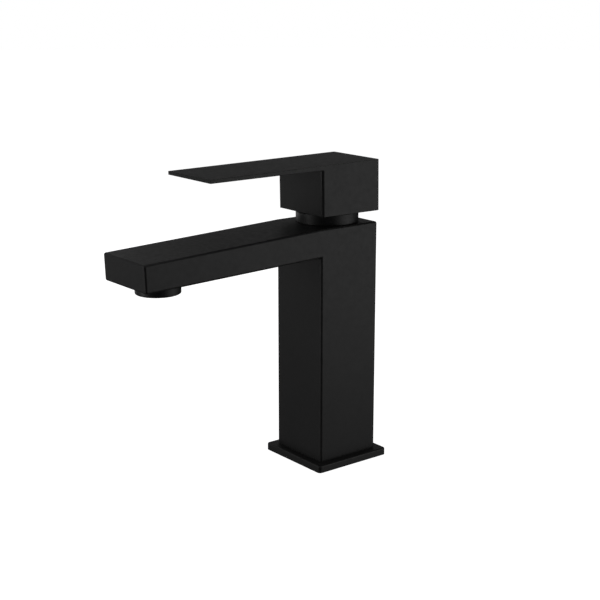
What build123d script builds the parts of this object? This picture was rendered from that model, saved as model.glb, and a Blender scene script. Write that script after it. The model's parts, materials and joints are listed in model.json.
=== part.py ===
from build123d import *
import os
from math import cos, hypot, pi, radians, sin

# Single-lever basin mixer: a square column on a square base plate, a flat spout,
# and a flat lever over a 25 mm ceramic cartridge.
# Millimetres. The origin is in the deck plane under the column's axis.
# +Z is up, the spout points along -Y, and X is the width.

# ---- driving dimensions ----

overcut = 1.0                  # a cutter runs this far past the face that it opens

# column and spout, one casting
column_width = 40.0
column_height = 138.0
casting_edge = 1.0             # radius of the casting's outer edges
column_wall = 4.0              # wall round the hollow foot
foot_recess_height = 50.0      # hollow foot, measured from the deck
foot_recess_corner = 3.0
spout_reach = 132.0            # column axis to the spout's tip
spout_root_depth = 15.8
spout_tip_depth = 14.9
spout_fall = 4.2               # drop of the spout's top from root to tip
spout_end_lean = 0.6           # the end face's lower edge is this much further back
spout_wall = 2.6
spout_side_wall = 3.0
spout_rear_wall = 3.0          # between the spout's hollow and the nut's thread
riser_wall = 1.2
riser_roof = 0.8               # between the risers' top and the nut's thread

# base plate and its gasket
base_margin = 4.8              # plate beyond the column on each side
base_thickness = 4.2
base_corner = 1.8
base_top_edge = 0.9
base_floor = 1.5               # web that the column's foot stands on
foot_clearance = 0.05
base_ledge = 3.4               # how far that web reaches under the foot
gasket_width = 2.4
gasket_thickness = 1.0
gasket_clearance = 0.05
gasket_inset = 0.9             # gasket's outer edge, inside the plate's edge

# water inlets and fixing stud
hose_bore = 9.0                # tapping bore for M10 x 1
hose_bore_depth = 12.0
hose_x = 7.5
hose_y = 3.5
stud_bore = 6.8                # tapping bore for M8
stud_bore_depth = 16.0
stud_y = -8.5
waterway = 2.5                 # radius of the drilled waterways
gallery_height = 4.5           # cross gallery under the cartridge seat
gallery_roof = 3.5

# ceramic cartridge
cartridge_diameter = 25.0
pocket_clearance = 0.2
pocket_depth = 36.0            # column top to cartridge seat
port_x = 6.0
inlet_port_y = 2.5
outlet_port_y = -6.5
port_seal_outer = 4.15
port_seal_height = 1.0
disc_seal_height = 0.8
seal_clearance = 0.03
seal_end_gap = 0.02
seal_bore_margin = 0.1
cartridge_wall = 1.3
cup_step = 0.9                 # the cup's wall is thicker than the shell's by this
cartridge_floor = 3.0
cartridge_rim = 5.5
peg_radius = 1.2
peg_length = 2.0
peg_clearance = 0.1
peg_end_gap = 0.2
peg_x = 9.2
peg_y = -5.8
fixed_disc_thickness = 3.2
fixed_disc_clearance = 0.3
disc_port = 2.3                # radius of the fixed disc's ports
disc_key = 1.0
key_clearance = 0.1
disc_film = 0.03               # grease film between the two discs
moving_disc_radius = 8.0
moving_disc_thickness = 3.0
disc_chamber_depth = 1.5
chamber_lobe_x = 3.0
chamber_lobe_y = 0.8
slider_plate = 1.8
slider_height = 6.3
slider_width = 10.0
slider_wall = 3.2              # beyond the ball, front and rear
slider_clearance = 0.1
slider_peg = 1.0
slider_peg_length = 1.2
slider_peg_clearance = 0.05
slider_peg_x = 5.0
slider_peg_y = -4.0

# rotor, pin and stem
rotor_gap = 0.3
rotor_top_gap = 0.1            # under the housing's roof
rotor_bottom = 11.3            # above the seat
rotor_top = 17.0
rotor_neck_wall = 0.75         # at the corners of the slot
rotor_neck_top = 34.0
slot_side_clearance = 0.15
slot_tilt_clearance = 0.75
rod_clearance = 0.5
rotor_roof = 1.2
neck_clearance = 0.06
o_ring_section = 1.2
o_ring_height = 19.5           # above the seat
o_ring_clearance = 0.04
groove_clearance = 0.05
pivot_height = 29.0            # above the seat
pin_radius = 1.5
pin_recess = 0.3               # the pin's ends lie this far inside the neck
pin_clearance = 0.04
ball_height = 13.0             # above the seat
ball_radius = 2.5
ball_clearance = 0.1
ball_end_gap = 0.3
stem_rod = 1.8
stem_width = 7.0
stem_square_bottom = 23.0      # above the seat
stem_top = 56.0                # above the seat
lift_limit = 14.0              # degrees

# retaining nut and cover ring
housing_roof = 4.0
guide_wall = 2.0
guide_top = 28.0               # above the seat
nut_thread_wall = 1.5          # thread radius beyond the cartridge radius
nut_thread_depth = 8.0
nut_end_gap = 0.2
nut_bore_clearance = 0.5
nut_head_height = 3.8
nut_head_gap = 0.3
nut_head_beyond_thread = 1.6
ring_clearance = 0.4
ring_wall = 1.6
ring_height = 5.9
ring_lip = 1.4
ring_edge = 0.4

# lever
lever_gap = 6.0                # column top to the block's rear lower edge
lever_front_rise = 0.5         # the block's underside is higher at the front
lever_side_wall = 1.7
lever_rear_wall = 3.8
lever_front_margin = 1.3       # block's front beyond the cover ring
lever_front_wall = 2.9
lever_cavity_clearance = 0.3
lever_cavity_corner = 2.0
lever_height = 28.7            # block, at its rear
lever_lean = 0.5               # the block's faces lean forward by this
lever_reach = 91.7             # column axis to the blade's tip
blade_tip = 2.0
blade_root = 2.7
lever_top_fall = 0.7
lever_roof = 4.2
lever_edge = 1.0               # the block's upright edges
lever_top_edge = 0.35
boss_wall = 2.0                # at the corners of the socket
boss_bottom = 11.0             # above the column top
socket_clearance = 0.05
web_width = 9.0
grub_height = 15.5             # above the column top
grub_radius = 2.45
grub_length = 7.0
grub_key_depth = 2.5
grub_key = 1.25                # half of the hexagon key's width across flats
grub_clearance = 0.05
cap_radius = 3.2
cap_depth = 1.6
cap_plug = 3.0
cap_set_back = 0.15            # cap's face inside the block's face
cap_clearance = 0.05

# aerator
outlet_reach = 112.0           # column axis to the outlet's axis
aerator_drop = 6.2             # below the spout's underside
aerator_radius = 12.0
aerator_edge = 0.6
aerator_gap = 0.5
nipple_radius = 11.0
nipple_bore = 9.6
nipple_drop = 4.0
thread_clearance = 0.05
aerator_lip = 1.0
aerator_mouth = 9.0
insert_radius = 9.3
insert_wall = 0.9
insert_flange = 0.6
insert_height = 8.4
insert_grid = 1.2
insert_clearance = 0.1
inner_disc_clearance = 0.05
grid_margin = 0.2
grid_hole = 0.72
grid_pitch = 1.95
diffuser_thickness = 1.0
diffuser_hole = 0.5
diffuser_pitch = 1.75
edge_margin = 1.0              # unpierced rim of the diffuser and the screen
regulator_thickness = 1.6
regulator_holes = 12
regulator_hole = 0.9
regulator_circle = 5.2
screen_thickness = 0.5
screen_hole = 0.45
screen_pitch = 1.25

# ---- sizes worked out from them ----

half_column = column_width / 2
tip_top = column_height - spout_fall
tip_under = tip_top - spout_tip_depth
root_under = column_height - spout_root_depth
under_slope = (root_under - tip_under) / (spout_reach - spout_end_lean - half_column)
top_slope = spout_fall / (spout_reach - half_column)
outlet_under = root_under - under_slope * (outlet_reach - half_column)

seat = column_height - pocket_depth
cartridge_radius = cartridge_diameter / 2
pocket_radius = cartridge_radius + pocket_clearance
thread_radius = cartridge_radius + nut_thread_wall
thread_bottom = column_height - nut_thread_depth
housing_bore = cartridge_radius - cartridge_wall
fixed_disc_radius = cartridge_radius - cartridge_wall - cup_step - fixed_disc_clearance
pivot_z = seat + pivot_height
ball_z = seat + ball_height
lift_arm = pivot_z - ball_z
disc_travel = lift_arm * sin(radians(lift_limit))
disc_offset = disc_travel / 2
slot_half_x = stem_width / 2 + slot_side_clearance
slot_swing = (pivot_height - stem_square_bottom) * sin(radians(lift_limit))
slot_half_y = stem_width / 2 + slot_swing + slot_tilt_clearance
rod_swing = (pivot_height - rotor_top) * sin(radians(lift_limit))
rotor_neck_radius = hypot(slot_half_x, slot_half_y) + rotor_neck_wall
neck_bore = rotor_neck_radius + neck_clearance
guide_radius = neck_bore + guide_wall
nut_bore = guide_radius + nut_bore_clearance
nut_head_radius = thread_radius + nut_head_beyond_thread
ring_bore = nut_head_radius + ring_clearance
ring_radius = ring_bore + ring_wall
cavity_half = ring_radius + lever_cavity_clearance
lever_half = cavity_half + lever_side_wall
lever_rear = cavity_half + lever_rear_wall
lever_front = ring_radius + lever_front_margin
lever_bottom = column_height + lever_gap
lever_top = lever_bottom + lever_height
riser_offset = (thread_radius + riser_wall + waterway) / 2 ** 0.5
riser_top = thread_bottom - riser_roof
base_half = half_column + base_margin


# ---- helpers ----

def post(radius, bottom, top, x=0.0, y=0.0):
    """Upright cylinder from bottom to top."""
    base = (Align.CENTER, Align.CENTER, Align.MIN)
    return Pos(x, y, bottom) * Cylinder(radius, top - bottom, align=base)


def tube(outer, inner, bottom, top, x=0.0, y=0.0):
    """Upright tube from bottom to top."""
    return post(outer, bottom, top, x, y) - post(inner, bottom - overcut, top + overcut, x, y)


def slab(x0, x1, y0, y1, z0, z1):
    """Box between two corners."""
    base = (Align.MIN, Align.MIN, Align.MIN)
    return Pos(x0, y0, z0) * Box(x1 - x0, y1 - y0, z1 - z0, align=base)


def square_post(half, corner, bottom, top):
    """Upright square prism on the Z axis with rounded upright edges."""
    body = slab(-half, half, -half, half, bottom, top)
    return fillet(body.edges().filter_by(Axis.Z), corner)


def side_profile(points, width):
    """Outline in the YZ plane, extruded to the width, centred on X = 0."""
    face = Plane.YZ * Polygon(*points, align=None)
    return extrude(face, amount=width / 2, both=True)


def along_y(radius, y0, y1, z):
    """Cylinder that lies along Y, from y0 to y1."""
    base = (Align.CENTER, Align.CENTER, Align.MIN)
    return Pos(0, y1, z) * Rot(90, 0, 0) * Cylinder(radius, y1 - y0, align=base)


def along_x(radius, half_length, z):
    """Cylinder that lies along X, centred."""
    return Pos(0, 0, z) * Rot(0, 90, 0) * Cylinder(radius, 2 * half_length)


def hex_grid(pitch, limit):
    """Centres of a hexagonal grid within a circle."""
    centres = []
    count = int(limit / pitch) + 2
    for row in range(-count, count + 1):
        for column in range(-count, count + 1):
            x = pitch * (column + 0.5 * (row % 2))
            y = pitch * row * 3 ** 0.5 / 2
            if hypot(x, y) <= limit:
                centres.append((x, y))
    return centres


def perforated(disc, bottom, top, hole, pitch, limit):
    """Cut a hexagonal grid of round holes through an outlet disc."""
    drills = []
    for x, y in hex_grid(pitch, limit):
        drills.append(post(hole, bottom - overcut, top + overcut, x, y - outlet_reach))
    return disc - drills


def ports():
    """Centres of the two inlet ports and the outlet port in the cartridge seat."""
    return [(-port_x, inlet_port_y), (port_x, inlet_port_y), (0.0, outlet_port_y)]


# ---- casting ----

def casting_skin():
    """Outside of the column and spout."""
    outline = [
        (half_column, base_floor),
        (half_column, column_height),
        (-half_column, column_height),
        (-spout_reach, tip_top),
        (-spout_reach + spout_end_lean, tip_under),
        (-half_column, root_under),
        (-half_column, base_floor),
    ]
    skin = side_profile(outline, column_width)
    near = 0.01
    sharp = []
    for edge in skin.edges():
        middle = edge.center()
        at_foot = middle.Z < base_floor + near
        at_fold = abs(middle.Y + half_column) < near and abs(middle.Z - column_height) < near
        if not at_foot and not at_fold:
            sharp.append(edge)
    return fillet(sharp, casting_edge)


def spout_hollow():
    """Water space in the spout and its opening towards the risers."""
    rear = thread_radius + spout_rear_wall
    front = outlet_reach + nipple_radius
    roof = column_height - spout_wall
    floor = root_under + spout_wall
    outline = [
        (-rear, floor - under_slope * (rear - half_column)),
        (-rear, roof - top_slope * (rear - half_column)),
        (-front, roof - top_slope * (front - half_column)),
        (-front, floor - under_slope * (front - half_column)),
    ]
    hollow = side_profile(outline, column_width - 2 * spout_side_wall)
    throat_half = riser_offset + waterway
    throat_rear = pocket_radius + riser_wall
    throat = slab(-throat_half, throat_half, -rear - overcut, -throat_rear, floor, riser_top)
    return hollow + throat


def outlet_gallery():
    """Gallery from the outlet port to the two risers in the column's front corners."""
    top = seat - gallery_roof
    bottom = top - gallery_height
    reach = riser_offset + waterway
    gallery = slab(-reach, reach, -reach, outlet_port_y + waterway, bottom, top)
    gallery += post(waterway, bottom, seat + overcut, 0, outlet_port_y)
    for side in (-1, 1):
        gallery += post(waterway, bottom, riser_top, side * riser_offset, -riser_offset)
    return gallery


def body_casting():
    """Column and spout with the cartridge pocket, waterways, hollow foot and outlet nipple."""
    casting = casting_skin()
    nipple_top = outlet_under + spout_wall
    casting += post(nipple_radius, outlet_under - nipple_drop, nipple_top, 0, -outlet_reach)
    casting -= spout_hollow()
    casting -= post(nipple_bore, outlet_under - nipple_drop - overcut, nipple_top + overcut, 0, -outlet_reach)
    casting -= post(pocket_radius, seat, column_height + overcut)
    casting -= post(thread_radius, thread_bottom, column_height + overcut)
    casting -= outlet_gallery()
    recess_bottom = base_floor - overcut
    casting -= square_post(half_column - column_wall, foot_recess_corner, recess_bottom, foot_recess_height)
    bore_bottom = foot_recess_height - overcut
    bore_top = foot_recess_height + hose_bore_depth
    peg_hole_bottom = seat - peg_length - peg_end_gap
    for side in (-1, 1):
        casting -= post(hose_bore / 2, bore_bottom, bore_top, side * hose_x, hose_y)
        casting -= post(waterway, bore_top - overcut, seat + overcut, side * port_x, inlet_port_y)
        casting -= post(peg_radius + peg_clearance, peg_hole_bottom, seat + overcut, side * peg_x, peg_y)
    casting -= post(stud_bore / 2, bore_bottom, foot_recess_height + stud_bore_depth, 0, stud_y)
    return casting


# ---- base ----

def base_plate():
    """Square plate with a pocket for the column's foot and a groove for the gasket."""
    plate = square_post(base_half, base_corner, 0, base_thickness)
    plate = fillet(plate.faces().sort_by(Axis.Z)[-1].edges(), base_top_edge)
    plate -= square_post(half_column + foot_clearance, casting_edge, base_floor, base_thickness + overcut)
    plate -= square_post(half_column - base_ledge, foot_recess_corner, -overcut, base_thickness)
    plate -= gasket(gasket_thickness + gasket_clearance, gasket_clearance)
    return plate


def gasket(thickness, growth):
    """Square ring under the plate's edge, grown by an amount on each side."""
    outer = base_half - gasket_inset + growth
    inner = base_half - gasket_inset - gasket_width - growth
    ring = square_post(outer, base_corner, 0, thickness)
    return ring - square_post(inner, base_corner, -overcut, thickness + overcut)


def base_gasket():
    """Rubber gasket between the plate and the deck."""
    return gasket(gasket_thickness, 0.0)


# ---- cartridge ----

def cartridge_base():
    """Cup that holds the fixed disc, with port holes, seal seats and locating pegs."""
    floor_top = seat + cartridge_floor
    cup = post(cartridge_radius, seat, seat + cartridge_rim)
    cup -= post(fixed_disc_radius + fixed_disc_clearance, floor_top, seat + cartridge_rim + overcut)
    for side in (-1, 1):
        cup += post(peg_radius, seat - peg_length, seat + cartridge_floor, side * peg_x, peg_y)
        cup += post(disc_key, seat, seat + cartridge_rim, side * fixed_disc_radius, 0)
    for x, y in ports():
        cup -= post(waterway, seat - overcut, floor_top + overcut, x, y)
        cup -= post(port_seal_outer, seat - overcut, seat + port_seal_height, x, y)
        cup -= post(port_seal_outer, floor_top - disc_seal_height, floor_top + overcut, x, y)
    return cup


def seal_set(bottom, height):
    """Three port rings at one level."""
    outer = port_seal_outer - seal_clearance
    inner = waterway + seal_bore_margin
    return Compound(children=[tube(outer, inner, bottom, bottom + height, x, y) for x, y in ports()])


def port_seals():
    """Rubber rings between the cartridge and its seat."""
    return seal_set(seat, port_seal_height - seal_end_gap)


def disc_seals():
    """Rubber rings between the cartridge base and the fixed disc."""
    bottom = seat + cartridge_floor - disc_seal_height + seal_end_gap
    return seal_set(bottom, disc_seal_height - 2 * seal_end_gap)


def fixed_disc():
    """Ceramic disc with three ports and two key notches."""
    bottom = seat + cartridge_floor
    top = bottom + fixed_disc_thickness
    disc = post(fixed_disc_radius, bottom, top)
    for side in (-1, 1):
        disc -= post(disc_key + key_clearance, bottom - overcut, top + overcut, side * fixed_disc_radius, 0)
    for x, y in ports():
        disc -= post(disc_port, bottom - overcut, top + overcut, x, y)
    return disc


def moving_disc():
    """Ceramic disc with a mixing chamber in its lower face and two peg holes."""
    bottom = seat + cartridge_floor + fixed_disc_thickness + disc_film
    top = bottom + moving_disc_thickness
    disc = post(moving_disc_radius, bottom, top, 0, disc_offset)
    chamber_bottom = bottom - overcut
    chamber_top = bottom + disc_chamber_depth
    chamber = post(waterway, chamber_bottom, chamber_top, 0, disc_offset)
    lobe_y = disc_offset + chamber_lobe_y
    for side in (-1, 1):
        chamber += post(waterway, chamber_bottom, chamber_top, side * chamber_lobe_x, lobe_y)
    disc -= chamber
    hole = slider_peg + slider_peg_clearance
    hole_bottom = top - slider_peg_length - slider_clearance
    for side in (-1, 1):
        disc -= post(hole, hole_bottom, top + overcut, side * slider_peg_x, disc_offset + slider_peg_y)
    return disc


def disc_slider():
    """Slider that carries the moving disc and takes the stem's ball."""
    bottom = seat + cartridge_floor + fixed_disc_thickness + disc_film + moving_disc_thickness
    slider = post(moving_disc_radius, bottom, bottom + slider_plate, 0, disc_offset)
    half = slider_width / 2
    length = ball_radius + slider_wall
    top = bottom + slider_height
    slider += slab(-half, half, -length, length, bottom, top)
    slider -= post(ball_radius + ball_clearance, ball_z - ball_radius - ball_end_gap, top + overcut)
    peg_bottom = bottom - slider_peg_length
    peg_top = bottom + slider_plate
    for side in (-1, 1):
        slider += post(slider_peg, peg_bottom, peg_top, side * slider_peg_x, disc_offset + slider_peg_y)
    return slider


def cartridge_rotor():
    """Rotor: flange with a slideway under it, and a slotted neck that carries the pin."""
    flange_radius = housing_bore - rotor_gap
    rotor = post(flange_radius, seat + rotor_bottom, seat + rotor_top)
    rotor += post(rotor_neck_radius, seat + rotor_bottom, seat + rotor_neck_top)
    half = slider_width / 2 + slider_clearance
    slideway_top = seat + rotor_top - rotor_roof
    rotor -= slab(-half, half, -cartridge_radius, cartridge_radius, seat, slideway_top)
    slot_bottom = seat + stem_square_bottom - overcut
    slot_top = seat + rotor_neck_top + overcut
    rotor -= slab(-slot_half_x, slot_half_x, -slot_half_y, slot_half_y, slot_bottom, slot_top)
    rod_half = stem_rod + rod_clearance
    rotor -= slab(-rod_half, rod_half, -rod_half - rod_swing, rod_half, seat, slot_bottom + overcut)
    rotor -= along_x(pin_radius, rotor_neck_radius + overcut, pivot_z)
    groove_half = o_ring_section / 2 + groove_clearance
    groove_z = seat + o_ring_height
    rotor -= ring_groove(groove_z - groove_half, groove_z + groove_half)
    return rotor


def o_ring_inner():
    """Radius of the bottom of the O-ring's groove."""
    return neck_bore - o_ring_clearance - o_ring_section


def ring_groove(bottom, top):
    """What is cut from the neck for the O-ring."""
    return post(rotor_neck_radius + overcut, bottom, top) - post(o_ring_inner(), bottom, top)


def rotor_seal():
    """O-ring in the rotor's neck."""
    major = o_ring_inner() + o_ring_section / 2
    return Pos(0, 0, seat + o_ring_height) * Torus(major, o_ring_section / 2)


def pivot_pin():
    """Steel pin that the lever's stem tilts on."""
    return along_x(pin_radius, rotor_neck_radius - pin_recess, pivot_z)


def cartridge_housing():
    """Upper shell of the cartridge, with the guide collar for the rotor's neck."""
    bottom = seat + cartridge_rim
    roof_under = seat + rotor_top + rotor_top_gap
    shell = post(cartridge_radius, bottom, seat + rotor_top + housing_roof)
    shell += post(guide_radius, roof_under, seat + guide_top)
    shell -= post(housing_bore, bottom - overcut, roof_under)
    shell -= post(neck_bore, bottom, seat + guide_top + overcut)
    return shell


def retaining_nut():
    """Nut that holds the cartridge down, with a hexagon head above the column."""
    bottom = seat + rotor_top + housing_roof
    head_bottom = column_height + nut_head_gap
    head_top = head_bottom + nut_head_height
    nut = post(cartridge_radius, bottom, head_top)
    nut += post(thread_radius - thread_clearance, thread_bottom + nut_end_gap, head_bottom)
    hexagon = RegularPolygon(nut_head_radius, 6)
    nut += Pos(0, 0, head_bottom) * extrude(hexagon, amount=nut_head_height)
    nut -= post(nut_bore, bottom - overcut, head_top + overcut)
    return nut


def cover_ring():
    """Round ring that hides the nut, between the column and the lever."""
    top = column_height + ring_height
    ring = post(ring_radius, column_height, top)
    ring = fillet(ring.edges().sort_by(Axis.Z)[-1], ring_edge)
    ring -= post(ring_bore, column_height - overcut, top - ring_lip)
    ring -= post(nut_bore, column_height - overcut, top + overcut)
    return ring


# ---- lever ----

def lever_stem():
    """Stem with a ball at its foot, a square head, and a hole for the pin."""
    square_bottom = seat + stem_square_bottom
    half = stem_width / 2
    stem = Pos(0, 0, ball_z) * Sphere(ball_radius)
    stem += post(stem_rod, ball_z, square_bottom + overcut)
    stem += slab(-half, half, -half, half, square_bottom, seat + stem_top)
    stem -= along_x(pin_radius + pin_clearance, half + overcut, pivot_z)
    return stem


def lever_outline():
    """Side outline of the lever's block and blade."""
    blade_under = lever_top - blade_root
    return [
        (lever_rear, lever_bottom),
        (lever_rear - lever_lean, lever_top),
        (-lever_reach, lever_top - lever_top_fall),
        (-lever_reach, lever_top - lever_top_fall - blade_tip),
        (-lever_front - lever_lean, blade_under),
        (-lever_front, lever_bottom + lever_front_rise),
    ]


def lever_skin():
    """Outside of the lever."""
    skin = side_profile(lever_outline(), 2 * lever_half)
    upright = [edge for edge in skin.edges() if edge.bounding_box().size.Z > lever_height / 2]
    skin = fillet(upright, lever_edge)
    top_face = skin.faces().sort_by(Axis.Z)[-1]
    return fillet(top_face.edges(), lever_top_edge)


def lever_cavity():
    """Hollow of the block, open below, that the cover ring enters as the lever lifts."""
    front = -lever_front + lever_front_wall
    roof = lever_top - lever_roof
    hollow = slab(-cavity_half, cavity_half, front, cavity_half, lever_bottom - overcut, roof)
    return fillet(hollow.edges().filter_by(Axis.Z), lever_cavity_corner)


def lever_handle():
    """Hollow block and flat blade, with the boss for the stem and its screw web."""
    roof = lever_top - lever_roof
    boss_z = column_height + boss_bottom
    grub_z = column_height + grub_height
    handle = lever_skin() - lever_cavity()
    socket = stem_width / 2 + socket_clearance
    handle += post(socket * 2 ** 0.5 + boss_wall, boss_z, roof + overcut)
    half_web = web_width / 2
    handle += slab(-half_web, half_web, 0, cavity_half + overcut, boss_z, grub_z + half_web)
    handle -= slab(-socket, socket, -socket, socket, boss_z - overcut, seat + stem_top + socket_clearance)
    handle -= along_y(grub_radius + grub_clearance, 0, lever_rear + overcut, grub_z)
    handle -= along_y(cap_radius + cap_clearance, cap_seat(), lever_rear + overcut, grub_z)
    return handle


def cap_seat():
    """Y of the shoulder that the index cap sits on."""
    lean = lever_lean * (grub_height - lever_gap) / lever_height
    return lever_rear - lean - cap_depth


def grub_screw():
    """Set screw with a hexagon key socket, hard against the stem."""
    front = stem_width / 2
    rear = front + grub_length
    z = column_height + grub_height
    hexagon = RegularPolygon(grub_key * 2 / 3 ** 0.5, 6)
    key = extrude(hexagon, amount=grub_key_depth + overcut)
    return along_y(grub_radius, front, rear, z) - Pos(0, rear + overcut, z) * Rot(90, 0, 0) * key


def index_cap():
    """Cap over the screw's access hole."""
    z = column_height + grub_height
    head = along_y(cap_radius, cap_seat(), cap_seat() + cap_depth - cap_set_back, z)
    plug = along_y(grub_radius, cap_seat() - cap_plug, cap_seat() + cap_depth / 2, z)
    return head + plug


# ---- aerator ----

def aerator_housing():
    """Screwed ring on the outlet nipple, with a lip that holds the insert."""
    bottom = outlet_under - aerator_drop
    top = outlet_under - aerator_gap
    ring = post(aerator_radius, bottom, top, 0, -outlet_reach)
    ring = fillet(ring.edges().sort_by(Axis.Z)[0], aerator_edge)
    ring -= post(nipple_radius + thread_clearance, bottom + aerator_lip, top + overcut, 0, -outlet_reach)
    ring -= post(aerator_mouth, bottom - overcut, top, 0, -outlet_reach)
    return ring


def insert_bottom():
    """Level of the insert's lower face, on the housing's lip."""
    return outlet_under - aerator_drop + aerator_lip


def aerator_insert():
    """Plastic cage with a flange and a perforated outlet grid."""
    bottom = insert_bottom()
    cage = post(insert_radius, bottom, bottom + insert_height, 0, -outlet_reach)
    cage += post(nipple_radius - insert_clearance, bottom, bottom + insert_flange, 0, -outlet_reach)
    inside = insert_radius - insert_wall
    grid_top = bottom + insert_grid
    cage -= post(inside, grid_top, bottom + insert_height + overcut, 0, -outlet_reach)
    return perforated(cage, bottom, grid_top, grid_hole, grid_pitch, inside - grid_hole - grid_margin)


def aerator_seal():
    """Flat washer between the insert's flange and the nipple."""
    outer = nipple_radius - insert_clearance
    inner = insert_radius + insert_clearance
    bottom = insert_bottom() + insert_flange
    return tube(outer, inner, bottom, outlet_under - nipple_drop, 0, -outlet_reach)


def diffuser_bottom():
    """Level of the diffuser's lower face in the cage."""
    return insert_bottom() + insert_height - regulator_thickness - diffuser_thickness


def aerator_diffuser():
    """Perforated plate that breaks up the jet."""
    bottom = diffuser_bottom()
    top = bottom + diffuser_thickness
    radius = insert_radius - insert_wall - inner_disc_clearance
    disc = post(radius, bottom, top, 0, -outlet_reach)
    return perforated(disc, bottom, top, diffuser_hole, diffuser_pitch, radius - edge_margin)


def flow_regulator():
    """Disc with a ring of holes that limits the flow."""
    bottom = diffuser_bottom() + diffuser_thickness
    top = bottom + regulator_thickness
    radius = insert_radius - insert_wall - inner_disc_clearance
    disc = post(radius, bottom, top, 0, -outlet_reach)
    for index in range(regulator_holes):
        angle = 2 * pi * index / regulator_holes
        x = regulator_circle * cos(angle)
        y = regulator_circle * sin(angle) - outlet_reach
        disc -= post(regulator_hole, bottom - overcut, top + overcut, x, y)
    return disc


def inlet_screen():
    """Fine screen on top of the insert."""
    bottom = insert_bottom() + insert_height
    top = bottom + screen_thickness
    disc = post(insert_radius, bottom, top, 0, -outlet_reach)
    return perforated(disc, bottom, top, screen_hole, screen_pitch, insert_radius - edge_margin)


# ---- files ----

builders = [
    body_casting, base_plate, base_gasket,
    cartridge_base, port_seals, disc_seals, fixed_disc, moving_disc, disc_slider,
    cartridge_rotor, rotor_seal, pivot_pin, cartridge_housing, retaining_nut, cover_ring,
    lever_stem, lever_handle, grub_screw, index_cap,
    aerator_housing, aerator_insert, aerator_seal, aerator_diffuser, flow_regulator, inlet_screen,
]

os.makedirs("parts", exist_ok=True)
for builder in builders:
    export_step(builder(), "parts/" + builder.__name__ + ".step")
print("lift arm", round(lift_arm, 3), "disc travel", round(disc_travel, 3))
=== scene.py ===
"""Builds the finished look of a square single-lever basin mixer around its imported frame."""

import json
from math import cos, pi, radians, sin, sqrt

import bmesh
import bpy
from bpy.props import FloatProperty, FloatVectorProperty, IntProperty, PointerProperty
from mathutils import Matrix, Vector


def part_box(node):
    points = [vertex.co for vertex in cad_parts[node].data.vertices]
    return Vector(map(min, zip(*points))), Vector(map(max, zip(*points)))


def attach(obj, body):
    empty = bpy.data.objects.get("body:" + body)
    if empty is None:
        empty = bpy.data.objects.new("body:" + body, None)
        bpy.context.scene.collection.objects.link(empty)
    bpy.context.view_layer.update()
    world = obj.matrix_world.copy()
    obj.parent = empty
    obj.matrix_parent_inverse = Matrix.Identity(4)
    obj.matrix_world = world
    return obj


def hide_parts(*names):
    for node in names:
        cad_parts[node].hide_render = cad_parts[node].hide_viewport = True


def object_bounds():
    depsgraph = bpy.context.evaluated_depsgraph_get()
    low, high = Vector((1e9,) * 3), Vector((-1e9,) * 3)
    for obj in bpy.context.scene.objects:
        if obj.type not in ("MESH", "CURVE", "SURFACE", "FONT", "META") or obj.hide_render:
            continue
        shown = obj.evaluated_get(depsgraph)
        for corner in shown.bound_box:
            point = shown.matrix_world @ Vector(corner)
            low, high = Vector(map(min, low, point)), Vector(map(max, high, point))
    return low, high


bl_info = {
    "name": "Square Basin Mixer",
    "version": (1, 0, 0),
    "blender": (4, 5, 0),
    "location": "View3D > Sidebar > Mixer",
    "description": "Casting, lever, collar, foot plate and aerator of a matte black basin mixer",
    "category": "Add Mesh",
}

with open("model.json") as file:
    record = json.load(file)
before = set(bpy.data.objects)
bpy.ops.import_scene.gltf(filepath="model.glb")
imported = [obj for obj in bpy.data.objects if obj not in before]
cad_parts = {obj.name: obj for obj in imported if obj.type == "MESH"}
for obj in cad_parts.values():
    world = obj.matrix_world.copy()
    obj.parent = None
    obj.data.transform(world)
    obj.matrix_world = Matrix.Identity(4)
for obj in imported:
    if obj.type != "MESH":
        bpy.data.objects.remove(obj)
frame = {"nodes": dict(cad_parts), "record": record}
CAD_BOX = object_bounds()
MM = 0.001
TINY = 1e-6
CUT_OVER = 1.0 * MM     # how far a cutter reaches past the face that it opens
FIT_GAP = 0.05 * MM     # room between parts that fit into each other

CASTING_LOW, CASTING_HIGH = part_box("body_casting")
PLATE_LOW, PLATE_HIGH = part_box("base_plate")
GASKET_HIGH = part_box("base_gasket")[1]
RING_LOW, RING_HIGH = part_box("cover_ring")
LEVER_LOW, LEVER_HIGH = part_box("lever_handle")
STEM_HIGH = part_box("lever_stem")[1]
CAP_LOW, CAP_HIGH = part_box("index_cap")
SCREW_LOW, SCREW_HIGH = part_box("grub_screw")
OUTLET_LOW, OUTLET_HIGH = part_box("aerator_housing")


def length(name, description, millimetres):
    """Length property given in millimetres and held in metres."""
    return FloatProperty(
        name=name, description=description, default=millimetres * MM, unit="LENGTH", precision=5
    )


def share(name, description, value):
    """Property between nought and one."""
    return FloatProperty(
        name=name, description=description, default=value, min=0.0, max=1.0, subtype="FACTOR"
    )


def tint(name, description, value):
    """Linear colour property."""
    return FloatVectorProperty(
        name=name, description=description, default=value, size=3, min=0.0, max=1.0, subtype="COLOR"
    )


# ---- settings ----

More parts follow.
